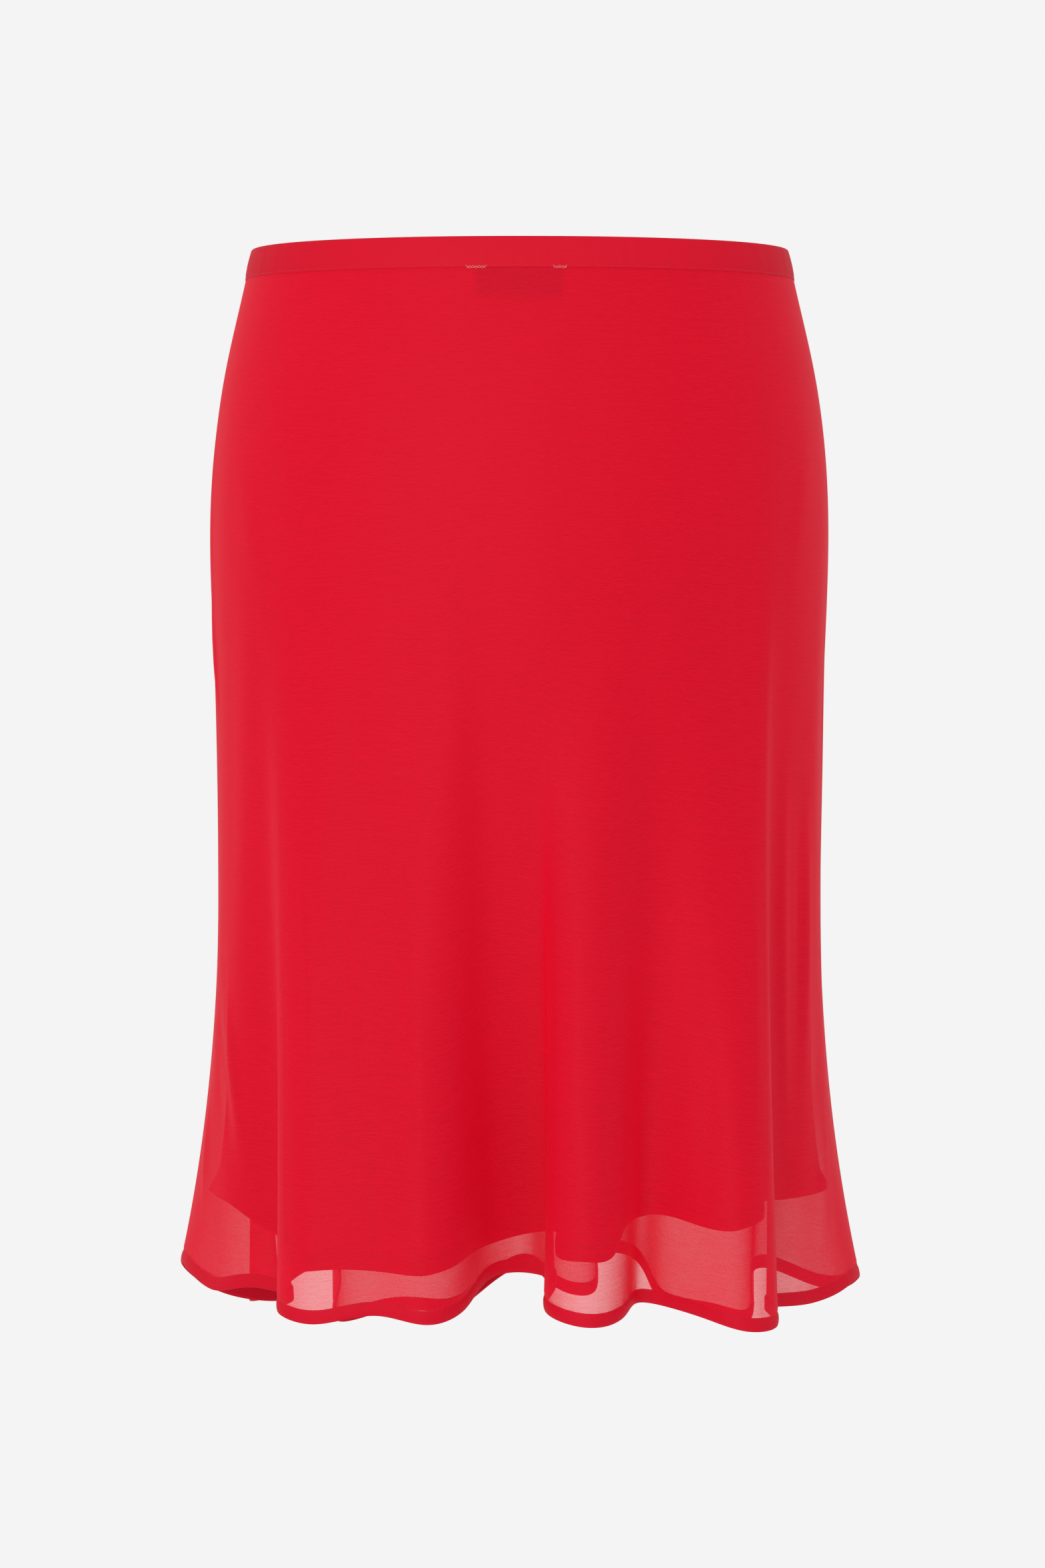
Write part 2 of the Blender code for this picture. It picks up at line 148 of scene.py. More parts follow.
# Creases in the cloth, each from one place to another, as girth in degrees and distance below the waist.
# "bow" is how far its middle strays to one side, "width" half its width, and "lift" its height, which is that
# of a ridge or, below zero, the depth of a trough.
CREASE_COLUMNS = ("name", "girth_from", "below_from", "girth_to", "below_to", "bow", "width", "lift")
CREASES = (
    ("left panel slanting ridge", -76.0, 0.475, -64.5, 0.632, 0.006, 0.0065, 0.0026),
    ("left panel slanting trough", -79.5, 0.500, -68.0, 0.625, 0.006, 0.0070, -0.0014),
    ("left panel short ridge", -83.0, 0.555, -76.0, 0.668, -0.004, 0.0060, 0.0016),
    ("left edge pucker", -84.0, 0.235, -80.5, 0.325, 0.002, 0.0040, 0.0016),
    ("left edge long ridge", -83.0, 0.090, -82.0, 0.300, -0.003, 0.0060, 0.0009),
    ("left hip drag", -66.0, 0.120, -52.0, 0.290, 0.008, 0.0120, 0.0008),
    ("first fold streak", -43.5, 0.380, -42.0, 0.655, 0.002, 0.0042, 0.0012),
    ("first fold face trough", -33.0, 0.400, -31.5, 0.640, -0.003, 0.0085, -0.0012),
    ("first fold second streak", -19.5, 0.440, -18.0, 0.640, 0.002, 0.0050, 0.0010),
    ("seat left slope", -26.0, 0.170, -16.0, 0.400, 0.006, 0.0150, -0.0008),
    ("middle slope", -7.0, 0.300, -3.0, 0.520, -0.003, 0.0080, -0.0010),
    ("second fold streak", 10.5, 0.420, 11.5, 0.660, -0.002, 0.0045, 0.0011),
    ("second fold short trough", 15.0, 0.520, 16.0, 0.680, 0.002, 0.0050, -0.0012),
    ("seat right slope", 26.0, 0.190, 20.0, 0.380, -0.006, 0.0130, -0.0008),
    ("third fold slope trough", 34.0, 0.470, 36.0, 0.650, 0.003, 0.0075, -0.0012),
    ("third fold streak", 46.0, 0.360, 46.5, 0.640, 0.002, 0.0045, 0.0010),
    ("right panel first ridge", 60.0, 0.330, 63.0, 0.610, -0.005, 0.0060, 0.0018),
    ("right panel second ridge", 69.0, 0.350, 68.0, 0.575, 0.004, 0.0055, 0.0014),
    ("right panel trough", 65.5, 0.370, 65.5, 0.560, 0.002, 0.0050, -0.0012),
    ("right panel low ridge", 78.0, 0.560, 73.0, 0.690, 0.003, 0.0065, 0.0015),
    ("right hip drag", 70.0, 0.110, 58.0, 0.280, -0.007, 0.0120, 0.0007),
    ("right edge ridge", 83.0, 0.240, 84.0, 0.420, 0.002, 0.0050, 0.0009),
    ("right front slanting ridge", 104.0, 0.440, 113.0, 0.630, -0.006, 0.0065, 0.0022),
    ("right front short ridge", 97.0, 0.560, 102.0, 0.675, 0.003, 0.0055, 0.0014),
    ("right front hip drag", 112.0, 0.115, 126.0, 0.275, 0.007, 0.0125, 0.0008),
    ("sixth fold streak", 137.0, 0.400, 138.5, 0.670, 0.002, 0.0045, 0.0012),
    ("sixth fold trough", 144.5, 0.470, 145.0, 0.690, -0.002, 0.0070, -0.0011),
    ("front belly right slope", 158.0, 0.150, 165.0, 0.400, 0.006, 0.0150, -0.0009),
    ("fifth fold streak", 171.0, 0.420, 171.5, 0.660, -0.002, 0.0050, 0.0010),
    ("front middle trough", 180.0, 0.320, 181.0, 0.540, 0.003, 0.0070, -0.0010),
    ("front belly left slope", 200.0, 0.160, 192.0, 0.390, -0.006, 0.0140, -0.0008),
    ("fourth fold streak", 193.5, 0.390, 193.0, 0.680, 0.002, 0.0045, 0.0012),
    ("fourth fold face trough", 202.0, 0.450, 202.5, 0.670, 0.003, 0.0070, -0.0011),
    ("fourth fold second streak", 212.5, 0.430, 212.0, 0.665, -0.002, 0.0048, 0.0010),
    ("left front hip drag", 246.0, 0.120, 230.0, 0.285, -0.008, 0.0120, 0.0008),
    ("seventh fold streak", 238.0, 0.440, 237.5, 0.660, 0.002, 0.0045, 0.0011),
    ("left front slanting ridge", 262.0, 0.470, 254.0, 0.640, 0.005, 0.0060, 0.0020),
    ("left front short trough", 257.0, 0.540, 252.0, 0.670, 0.003, 0.0060, -0.0010),
)
# Length round the hips for one degree of girth.
GIRTH_DEGREE = 0.0032
CREASE_FADE = 1.4

# Slow waves in the hanging cloth: how many go round, how much each turns on the way down, its phase and how
# high it is.
WAVES = (
    ("broad", 9, 5.0, 0.7, 0.00050),
    ("middling", 16, -8.0, 2.1, 0.00034),
    ("small", 29, 11.0, 4.4, 0.00020),
)
WAVES_START = 0.050
WAVES_FULL = 0.330
# The hem's edge strays up and down a little: how many waves go round, their phase and their height.
HEM_WAVES = ((11, 0.4, 0.0006), (23, 2.3, 0.0004))


def table_columns(names, table):
    """The table's columns as arrays, by name."""
    return {name: np.array(values) for name, values in zip(names, zip(*table))}


def spline_weights(knots, places, period=None):
    """How much each knot's value counts at each place on a smooth curve, which may close after a period."""
    count = len(knots)
    starts = np.arange(count if period else count - 1)
    ends = (starts + 1) % count
    gaps = (knots[ends] - knots[starts]) % period if period else np.diff(knots)
    bends, rises = np.zeros((count, count)), np.zeros((count, count))
    for start, end, gap in zip(starts, ends, gaps):
        for here, there, way in ((start, end, 1), (end, start, -1)):
            bends[here, here] += 2 / gap
            bends[here, there] += 1 / gap
            rises[here, here] -= 3 * way / gap**2
            rises[here, there] += 3 * way / gap**2
    slopes = np.linalg.solve(bends, rises)
    if period:
        places = (places - knots[0]) % period + knots[0]
    span = np.clip(np.searchsorted(knots, places, side="right") - 1, 0, len(starts) - 1)
    gap = gaps[span][..., None]
    t = np.clip((places - knots[span]) / gaps[span], 0, 1)[..., None]
    value = np.eye(count)
    return (
        (1 + 2 * t) * (1 - t) ** 2 * value[span]
        + (3 - 2 * t) * t**2 * value[ends[span]]
        + gap * t * (1 - t) ** 2 * slopes[span]
        - gap * t**2 * (1 - t) * slopes[ends[span]]
    )


section = table_columns(SECTION_COLUMNS, SECTIONS)
fold = table_columns(FOLD_COLUMNS, FOLDS)
crease = table_columns(CREASE_COLUMNS, CREASES)
is_side = np.isin(fold["name"], SIDES)


def on_oval(girth, below):
    """The point (x, y) of the plain oval at a girth in degrees and a distance below the waist."""
    weights = spline_weights(section["below"], below)
    across, along = np.sin(np.radians(girth)), -np.cos(np.radians(girth))
    power = 2.0 / (weights @ section["power"])
    x = weights @ section["half_width"] * np.sign(across) * abs(across) ** power
    y = weights @ section["half_depth"] * np.sign(along) * abs(along) ** power
    return x, y


# How far round the crepe's hem each fold line is, along the straight chords between them.
chords = np.hypot(np.roll(fold["hem_x"], -1) - fold["hem_x"], np.roll(fold["hem_y"], -1) - fold["hem_y"])
HEM_LENGTH = chords.sum()
fold_place = np.cumsum(chords) - chords
left_side, right_side = fold_place[is_side]
PANELS = {"back": (left_side, right_side), "front": (right_side, left_side + HEM_LENGTH)}

# How far each fold line has left the oval at the hem.
oval_x, oval_y = on_oval(fold["girth"], np.full(len(FOLDS), section["below"][-1]))
reach_x, reach_y = fold["hem_x"] - oval_x, fold["hem_y"] - oval_y


def round_hem(places):
    """How much each fold line's value counts at each place round the hem."""
    return spline_weights(fold_place, places, HEM_LENGTH)


def girth_at(places):
    """The girth in degrees whose line down the skirt ends at this place of the hem."""
    even_girth = FULL_TURN * fold_place / HEM_LENGTH
    return round_hem(places) @ (fold["girth"] - even_girth) + FULL_TURN * places / HEM_LENGTH


def growth(below):
    """How much of its reach at the hem each fold line has at a height, from 0 to about 1."""
    share = np.maximum(0, (below[..., None] - fold["start"]) / (fold["hem_below"] - fold["start"]))
    as_fold = share**2 * (1 + FOLD_SOFTNESS) / (share + FOLD_SOFTNESS)
    return np.where(is_side, share**SIDE_GROWTH, as_fold)


def crepe_point(places, below):
    """The point (x, y) of the crepe's outer face at a place round the hem and a distance below the waist."""
    weights = round_hem(places) * growth(below)
    x, y = on_oval(girth_at(places), below)
    return x + weights @ reach_x, y + weights @ reach_y


def inside_crepe(places, below, depth):
    """The point (x, y, z) that lies a depth inside the crepe's outer face."""
    x, y = crepe_point(places, below)
    x_before, y_before = crepe_point(places - NORMAL_STEP, below)
    x_after, y_after = crepe_point(places + NORMAL_STEP, below)
    along_x, along_y = x_after - x_before, y_after - y_before
    length = np.hypot(along_x, along_y)
    below = np.broadcast_to(below, x.shape)
    return np.stack([x - along_y / length * depth, y + along_x / length * depth, -below], axis=-1)


def lining_depth(places, below):
    """How deep inside the crepe's outer face the lining's outer face is."""
    weights = round_hem(places)
    share = np.maximum(0, (below - SEAM_TOP) / (weights @ fold["lining_below"] - SEAM_TOP))
    at_seam = CREPE_WALL + LINING_GAP_AT_SEAM
    apart = (weights @ fold["lining_gap"] - LINING_GAP_AT_SEAM) * share**LINING_GAP_GROWTH
    risen = share**LINING_INSET_GROWTH
    inset = LINING_SIDE_INSET * np.maximum(0, weights[..., is_side].sum(axis=-1)) * 4 * risen * (1 - risen)
    return at_seam + apart + np.maximum(0, inset)


def bump(distance, width):
    """A soft hill, 1 in its middle, that has all but gone at twice its width."""
    return np.exp(-((distance / width) ** 2))


def lift_at(places, below):
    """How far creases and slow waves lift the cloth at a place and a distance below the waist."""
    girth = girth_at(places)
    around = girth * GIRTH_DEGREE
    ramp = np.clip((below - WAVES_START) / (WAVES_FULL - WAVES_START), 0, 1)
    lift = np.zeros(np.broadcast_shapes(places.shape, below.shape))
    for _, count, turn, phase, height in WAVES:
        lift += ramp * height * np.sin(np.radians(girth) * count + below * turn + phase)
    for row in range(len(CREASES)):
        column = {name: crease[name][row] for name in CREASE_COLUMNS[1:]}
        run = Vector(((column["girth_to"] - column["girth_from"]) * GIRTH_DEGREE,
                      column["below_to"] - column["below_from"]))
        way = run.normalized()
        aside, down = around - column["girth_from"] * GIRTH_DEGREE, below - column["below_from"]
        along = np.clip((aside * way[0] + down * way[1]) / run.length, 0, 1)
        across = aside * way[1] - down * way[0] - column["bow"] * 4 * along * (1 - along)
        lift += column["lift"] * np.sin(np.pi * along) ** CREASE_FADE * bump(across, column["width"])
    return lift


def hem_stray(places):
    """How far the hem's edge strays downwards from its even line."""
    turns = 2 * np.pi * places / HEM_LENGTH
    return sum(height * np.sin(count * turns + phase) for count, phase, height in HEM_WAVES)


def grid_object(name, points, cut, closed_round=False, closed_over=False):
    """An object from a grid of points[column, row] facing outwards, whose UV map is its flat cut in metres.

    A grid that closes, round the skirt or over its edge, repeats its first column or row as its last."""
    columns, rows = points.shape[:2]
    own = points[: columns - closed_round, : rows - closed_over]
    point_index = np.arange(own.shape[0] * own.shape[1]).reshape(own.shape[:2])
    point_index = np.pad(point_index, ((0, int(closed_round)), (0, int(closed_over))), mode="wrap")
    cut_index = np.arange(columns * rows).reshape(columns, rows)

    def corners(index):
        around = [index[:-1, :-1], index[:-1, 1:], index[1:, 1:], index[1:, :-1]]
        return np.stack(around, axis=-1).reshape(-1, 4)

    mesh = bpy.data.meshes.new(name)
    mesh.from_pydata(own.reshape(-1, 3).tolist(), [], corners(point_index).tolist())
    flat = np.broadcast_to(cut, (columns, rows, 2)).reshape(-1, 2)
    mesh.uv_layers.new(name="cut").data.foreach_set("uv", flat[corners(cut_index).ravel()].ravel())
    mesh.shade_smooth()
    piece = bpy.data.objects.new(name, mesh)
    bpy.context.scene.collection.objects.link(piece)
    return piece


def flat_cut(across, down):
    """The flat cut's coordinates on a grid, from places across and distances down."""
    return np.stack(np.broadcast_arrays(across, down), axis=-1)


def mark(piece, name, values):
    """Stores a value for each point, for the material to read."""
    values = np.ascontiguousarray(values, dtype=np.float32).ravel()
    piece.data.attributes.new(name, "FLOAT", "POINT").data.foreach_set("value", values)


def give(piece, material, slot, *nodes):
    """Gives a finished piece its material and its body, and hides the solids that it stands for; its slot is
    not used.
    """
    if material:
        piece.data.materials.clear()
        piece.data.materials.append(material)
    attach(piece, BODY)
    if nodes:
        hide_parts(*nodes)
    return piece


class NodeTree:
    """A node tree that is built in code: one method adds any node and joins what feeds it."""

    def __init__(self, tree):
        self.tree = tree

    def join(self, value, socket):
        if isinstance(value, Value):
            self.tree.links.new(value.socket, socket)
        else:
            socket.default_value = value

    def node(self, kind, settings=None, inputs=None, output=0):
        """Adds a node, its settings first and then what its sockets take, and gives one of its outputs."""
        node = self.tree.nodes.new(kind)
        for name, value in (settings or {}).items():
            setattr(node, name, value)
        for name, value in (inputs or {}).items():
            self.join(value, node.inputs[name])
        return Value(self, node.outputs[output])


class Value:
    """A node's output, on which Python's arithmetic adds Math nodes."""

    def __init__(self, home, socket):
        self.home = home
        self.socket = socket

    def other(self, output):
        """Another output of the same node."""
        return Value(self.home, self.socket.node.outputs[output])

    def math(self, operation, *values):
        return self.home.node("ShaderNodeMath", {"operation": operation}, dict(enumerate(values)))

    def __add__(self, value):
        return self.math("ADD", self, value)

    def __sub__(self, value):
        return self.math("SUBTRACT", self, value)

    def __rsub__(self, value):
        return self.math("SUBTRACT", value, self)

    def __mul__(self, value):
        return self.math("MULTIPLY", self, value)

    def __truediv__(self, value):
        return self.math("DIVIDE", self, value)

    def __rtruediv__(self, value):
        return self.math("DIVIDE", value, self)

    def __pow__(self, value):
        return self.math("POWER", self, value)

    __radd__ = __add__
    __rmul__ = __mul__

    def wave(self):
        return self.math("SINE", self)

    def clamped(self, low=0.0, high=1.0):
        return self.math("MINIMUM", self.math("MAXIMUM", self, low), high)


class Finish(NodeTree):
    """A cloth's or thread's material."""

    def __init__(self, name, **constants):
        self.material = bpy.data.materials.new(name)
        self.material.use_nodes = True
        super().__init__(self.material.node_tree)
        self.surface = self.tree.nodes["Principled BSDF"]
        for socket, value in constants.items():
            self.surface.inputs[socket.replace("_", " ")].default_value = value

    def feed(self, socket, value):
        self.join(value, self.surface.inputs[socket])

    def cut(self, across=1.0, down=1.0):
        """The flat cut's coordinates in metres, stretched for a pattern."""
        flat = self.node("ShaderNodeUVMap", {"uv_map": "cut"})
        return self.node("ShaderNodeMapping", None, {"Vector": flat, "Scale": (across, down, 1.0)})

    def noise(self, where, scale=1.0, detail=2.0, roughness=0.5):
        """Noise from -0.5 to 0.5."""
        noise = self.node("ShaderNodeTexNoise", None,
                          {"Vector": where, "Scale": scale, "Detail": detail, "Roughness": roughness})
        return noise - 0.5

    def marked(self, name):
        return self.node("ShaderNodeAttribute", {"attribute_name": name}, output="Fac")

    def mix(self, share, first, second):
        """A mix of two colours."""
        mixer = self.node("ShaderNodeMix", {"data_type": "RGBA", "clamp_factor": True}, {0: share}, output=2)
        for index, colour in ((6, first), (7, second)):
            value = colour if isinstance(colour, Value) else (*colour, 1.0)
            self.join(value, mixer.socket.node.inputs[index])
        return mixer

    def relief(self, height, distance, strength=1.0):
        self.feed("Normal", self.node("ShaderNodeBump", None,
                                      {"Height": height, "Distance": distance, "Strength": strength}))


# How fine the patterns of the cloths are, across and down them, in repeats to a metre.
SLUBS = (95, 1500)
LONG_SLUBS = (22, 620)
PEBBLES = (1150, 1150)
CREPE_CLOUDS = (9, 6)
WEFT = (60, 2100)
WARP = (2300, 45)
LINING_CLOUDS = (7, 5)
RIBS = (1.0, 6500)
SPECKS = (1500, 900)
TWIST = 2600.0
# A layer's cover stops growing when it is seen at a slant beyond this cosine.
GRAZING_COSINE = 0.12
# The share of what a layer lets through that it loses where it is pressed flat in a turned hem.
TURNED_COVER = 0.8


def shade(colour, share):
    """A colour made darker, or lighter where the share is over 1."""
    return tuple(min(1.0, part * share) for part in colour)


def crepe_finish(name, cloth, colour, cover):
    """Sheer matt crepe: a pebbly crossed weave with fine slubs, see-through where it is single.

    Seen at a slant, its yarns hide more: the ray's way through the layer is longer by 1 over the cosine."""
    finish = Finish(name, Sheen_Weight=cloth.crepe_sheen, Sheen_Roughness=0.45, Specular_IOR_Level=0.14)
    finish.surface.inputs["Sheen Tint"].default_value = (*cloth.sheen_tint, 1.0)
    long_slub = finish.noise(finish.cut(*LONG_SLUBS), detail=2.0)
    slub = finish.noise(finish.cut(*SLUBS), detail=1.0) + 0.6 * long_slub
    pebble = finish.noise(finish.cut(*PEBBLES), detail=1.0)
    cloud = finish.noise(finish.cut(*CREPE_CLOUDS), detail=3.0)
    tone = (0.5 + 0.45 * slub + 0.7 * pebble + 0.35 * cloud).clamped()
    turned = finish.marked("turned")
    colour = tuple(colour)
    plain = finish.mix(tone, shade(colour, 0.90), shade(colour, 1.08))
    finish.feed("Base Color", finish.mix(turned * cloth.turned_shade, plain, shade(colour, 0.45)))
    finish.feed("Roughness", (0.62 + 0.12 * pebble).clamped())
    if cover < 1:
        facing = finish.node("ShaderNodeLayerWeight", None, {"Blend": 0.5}, output="Facing")
        way_through = 1.0 / (1.0 - facing).clamped(low=GRAZING_COSINE)
        let_through = ((1.0 - cover) * (1.0 - 0.9 * pebble - 0.5 * slub)).clamped(low=0.01)
        finish.feed("Alpha", 1.0 - let_through ** way_through * (1.0 - TURNED_COVER * turned))
    finish.relief(0.6 * pebble + 0.5 * slub, 0.00025, 0.5)
    return finish.material


def lining_finish(name, cloth):
    """Opaque, fine and slightly satiny lining, darker in its turned hem, with a painted shadow where the
    label lies behind it.
    """
    finish = Finish(name, Sheen_Weight=0.08, Sheen_Roughness=0.35, Specular_IOR_Level=0.14)
    finish.surface.inputs["Sheen Tint"].default_value = (*cloth.sheen_tint, 1.0)
    weft = finish.noise(finish.cut(*WEFT), detail=1.0)
    warp = finish.noise(finish.cut(*WARP), detail=1.0)
    cloud = finish.noise(finish.cut(*LINING_CLOUDS), detail=2.0)
    tone = (0.5 + 0.5 * weft + 0.3 * warp + 0.5 * cloud).clamped()
    colour = tuple(cloth.lining_colour)
    plain = finish.mix(tone, shade(colour, 0.93), shade(colour, 1.06))
    darkened = finish.mix(finish.marked("turned") * cloth.turned_shade, plain, shade(colour, 0.45))
    # Painted shadow: the lining's colour is darkened where the label lies behind it.
    finish.feed("Base Color", finish.mix(finish.marked("painted_label_shadow") * cloth.painted_label_shadow_strength, darkened,
                                         shade(colour, 0.12)))
    finish.feed("Roughness", (0.46 + 0.10 * weft).clamped())
    finish.relief(0.5 * weft + 0.4 * warp, 0.00012, 0.5)
    return finish.material


def label_finish(name, cloth):
    """Blank woven ribbon, ribbed across."""
    finish = Finish(name, Sheen_Weight=0.15, Specular_IOR_Level=0.35)
    rib = finish.node("ShaderNodeSeparateXYZ", None, {"Vector": finish.cut(*RIBS)}, output="Y").wave()
    speck = finish.noise(finish.cut(*SPECKS), detail=1.0)
    colour = tuple(cloth.label_colour)
    finish.feed("Base Color", finish.mix((0.5 + 0.25 * rib + 0.6 * speck).clamped(), shade(colour, 0.7),
                                         shade(colour, 1.5)))
    finish.feed("Roughness", (0.58 + 0.08 * rib).clamped())
    finish.relief(rib, 0.00012, 0.5)
    return finish.material


def thread_finish(name, colour):
    """Twisted sewing thread, with a little lustre. It is made once for each name."""
    if name in bpy.data.materials:
        return bpy.data.materials[name]
    finish = Finish(name, Sheen_Weight=0.10, Specular_IOR_Level=0.45)
    where = finish.node("ShaderNodeTexCoord", output="Object")
    twist = finish.noise(where, scale=TWIST, detail=1.0)
    finish.feed("Base Color", finish.mix((0.5 + twist).clamped(), shade(colour, 0.82), shade(colour, 1.15)))
    finish.feed("Roughness", (0.44 + 0.15 * twist).clamped())
    return finish.material


# The smallest and the largest stitch, as shares of the even one.
STITCH_SPREAD = (0.88, 1.10)


def thread_tree():
    """Geometry nodes that sew a path: one slightly uneven stitch at every pitch along it."""
    tree = bpy.data.node_groups.new("Sewn line", "GeometryNodeTree")
    sockets = (("Path", "Geometry"), ("Pitch", "Float"), ("Stitch length", "Float"), ("Thread", "Float"),
               ("Slant", "Float"), ("Seed", "Int"), ("Thread material", "Material"))
    for name, kind in sockets:
        tree.interface.new_socket(name, in_out="INPUT", socket_type="NodeSocket" + kind)
    tree.interface.new_socket("Stitches", in_out="OUTPUT", socket_type="NodeSocketGeometry")
    nodes = NodeTree(tree)
    taken = nodes.node("NodeGroupInput")
    seed = taken.other("Seed")
    half_thread = taken.other("Thread") * 0.5
    half_stitch = taken.other("Stitch length") * 0.5
    stitch = nodes.node("GeometryNodeMeshUVSphere", None, {"Segments": 6, "Rings": 5, "Radius": 1.0})
    size = nodes.node("ShaderNodeCombineXYZ", None, {"X": half_thread, "Y": half_thread, "Z": half_stitch})
    stitch = nodes.node("GeometryNodeTransform", None, {"Geometry": stitch, "Scale": size})
    points = nodes.node("GeometryNodeCurveToPoints", {"mode": "LENGTH"},
                        {"Curve": taken.other("Path"), "Length": taken.other("Pitch")})
    slant = taken.other("Slant")
    least = nodes.node("ShaderNodeCombineXYZ", None, {"X": slant * -1.0, "Y": slant * -1.0})
    most = nodes.node("ShaderNodeCombineXYZ", None, {"X": slant, "Y": slant})
    lean = nodes.node("FunctionNodeRandomValue", {"data_type": "FLOAT_VECTOR"},
                      {0: least, 1: most, "Seed": seed})
    lean = nodes.node("FunctionNodeEulerToRotation", None, {"Euler": lean})
    turned = nodes.node("FunctionNodeRotateRotation", {"rotation_space": "LOCAL"},
                        {"Rotation": points.other("Rotation"), "Rotate By": lean})
    shortest, longest = STITCH_SPREAD
    even = nodes.node("FunctionNodeRandomValue", {"data_type": "FLOAT"},
                      {2: shortest, 3: longest, "Seed": seed}, output=1)
    placed = nodes.node("GeometryNodeInstanceOnPoints", None,
                        {"Points": points, "Instance": stitch, "Rotation": turned, "Scale": even})
    real = nodes.node("GeometryNodeRealizeInstances", None, {"Geometry": placed})
    dressed = nodes.node("GeometryNodeSetMaterial", None,
                         {"Geometry": real, "Material": taken.other("Thread material")})
    smooth = nodes.node("GeometryNodeSetShadeSmooth", None, {"Geometry": dressed})
    out = tree.nodes.new("NodeGroupOutput")
    nodes.join(smooth, out.inputs["Stitches"])
    return tree


def sew(name, paths, closed, **values):
    """Stitches along one or more paths, as a plain mesh."""
    curve = bpy.data.curves.new(name + "_path", "CURVE")
    curve.dimensions = "3D"
    for path in paths:
        spline = curve.splines.new("POLY")
        spline.points.add(len(path) - 1)
        spline.points.foreach_set("co", np.column_stack([path, np.ones(len(path))]).ravel())
        spline.use_cyclic_u = closed
    line = bpy.data.objects.new(name + "_path", curve)
    bpy.context.scene.collection.objects.link(line)
    tree = bpy.data.node_groups.get("Sewn line") or thread_tree()
    modifier = line.modifiers.new("Sewn line", "NODES")
    modifier.node_group = tree
    names = {item.name: item.identifier for item in tree.interface.items_tree}
    for label, value in values.items():
        modifier[names[label.replace("_", " ").capitalize()]] = value
    evaluated = line.evaluated_get(bpy.context.evaluated_depsgraph_get())
    mesh = bpy.data.meshes.new_from_object(evaluated)
    mesh.name = name
    bpy.data.objects.remove(line)
    bpy.data.curves.remove(curve)
    piece = bpy.data.objects.new(name, mesh)
    bpy.context.scene.collection.objects.link(piece)
    return piece


class SkirtCloth(bpy.types.PropertyGroup):
    """Colours of the cloths and how they take the light."""

    crepe_colour: bpy.props.FloatVectorProperty(
        name="Crepe colour", description="Colour of the sheer crepe", subtype="COLOR",
        size=3, min=0.0, max=1.0, default=(0.850, 0.0022, 0.0260))
    crepe_cover: bpy.props.FloatProperty(
        name="Crepe cover", description="Share of what lies behind it that one layer of crepe hides",
        subtype="FACTOR", min=0.0, max=1.0, default=0.68)
    crepe_sheen: bpy.props.FloatProperty(
        name="Crepe sheen", description="Strength of the soft gleam at grazing angles",
        subtype="FACTOR", min=0.0, max=1.0, default=0.10)
    band_colour: bpy.props.FloatVectorProperty(
        name="Band colour", description="Colour of the doubled crepe over the elastic", subtype="COLOR",
        size=3, min=0.0, max=1.0, default=(0.680, 0.0022, 0.0210))
    sheen_tint: bpy.props.FloatVectorProperty(
        name="Sheen tint", description="Colour of the gleam at grazing angles", subtype="COLOR",
        size=3, min=0.0, max=1.0, default=(1.0, 0.10, 0.13))
    lining_colour: bpy.props.FloatVectorProperty(
        name="Lining colour", description="Colour of the opaque lining", subtype="COLOR",
        size=3, min=0.0, max=1.0, default=(0.850, 0.0020, 0.0220))
    turned_shade: bpy.props.FloatProperty(
        name="Turned shade", description="How much darker a turned hem is than the cloth above it",
        subtype="FACTOR", min=0.0, max=1.0, default=0.30)
    # How dark the label's painted shadow on the lining is.
    painted_label_shadow_strength: bpy.props.FloatProperty(
        name="Label shade", description="How much of the dark label shows through the lining",
        subtype="FACTOR", min=0.0, max=1.0, default=0.70)
    label_colour: bpy.props.FloatVectorProperty(
        name="Label colour", description="Colour of the blank woven label", subtype="COLOR",
        size=3, min=0.0, max=1.0, default=(0.020, 0.018, 0.020))


class SkirtSewing(bpy.types.PropertyGroup):
    """Sizes of the hems, seams and stitches."""

    crepe_hem: bpy.props.FloatProperty(
        name="Crepe hem", description="Height of the crepe's turned hem", unit="LENGTH",
        min=0.004, max=0.03, default=0.009)
    lining_hem: bpy.props.FloatProperty(
        name="Lining hem", description="Height of the lining's turned hem", unit="LENGTH",
        min=0.004, max=0.04, default=0.013)
    layer_gap: bpy.props.FloatProperty(
        name="Layer gap", description="Distance between the layers of a turned hem", unit="LENGTH",
        min=0.0002, max=0.002, default=0.0006)
    hem_puff: bpy.props.FloatProperty(
        name="Hem puff", description="How far a turned hem swells below its stitching", unit="LENGTH",
        min=0.0, max=0.002, default=0.0004)
    stitch_dip: bpy.props.FloatProperty(
        name="Stitch dip", description="How far stitching draws the cloth in", unit="LENGTH",
        min=0.0, max=0.001, default=0.0004)
    seam_width: bpy.props.FloatProperty(
        name="Side seam", description="Width of the side seams inside the skirt", unit="LENGTH",
        min=0.002, max=0.02, default=0.006)
    stitch_pitch: bpy.props.FloatProperty(
        name="Stitch pitch", description="Distance from one stitch to the next", unit="LENGTH",
        min=0.001, max=0.006, default=0.0024)
    stitch_length: bpy.props.FloatProperty(
        name="Stitch length", description="Length of a stitch on the cloth", unit="LENGTH",
        min=0.0005, max=0.005, default=0.0016)
    thread: bpy.props.FloatProperty(
        name="Thread", description="Thickness of the sewing thread", unit="LENGTH",
        min=0.0001, max=0.001, default=0.00036)
    thread_colour: bpy.props.FloatVectorProperty(
        name="Thread colour", description="Colour of the red sewing thread", subtype="COLOR",
        size=3, min=0.0, max=1.0, default=(0.62, 0.008, 0.024))
    tack_colour: bpy.props.FloatVectorProperty(
        name="Tack colour", description="Colour of the pale stitches that hold the label", subtype="COLOR",
        size=3, min=0.0, max=1.0, default=(0.90, 0.30, 0.30))


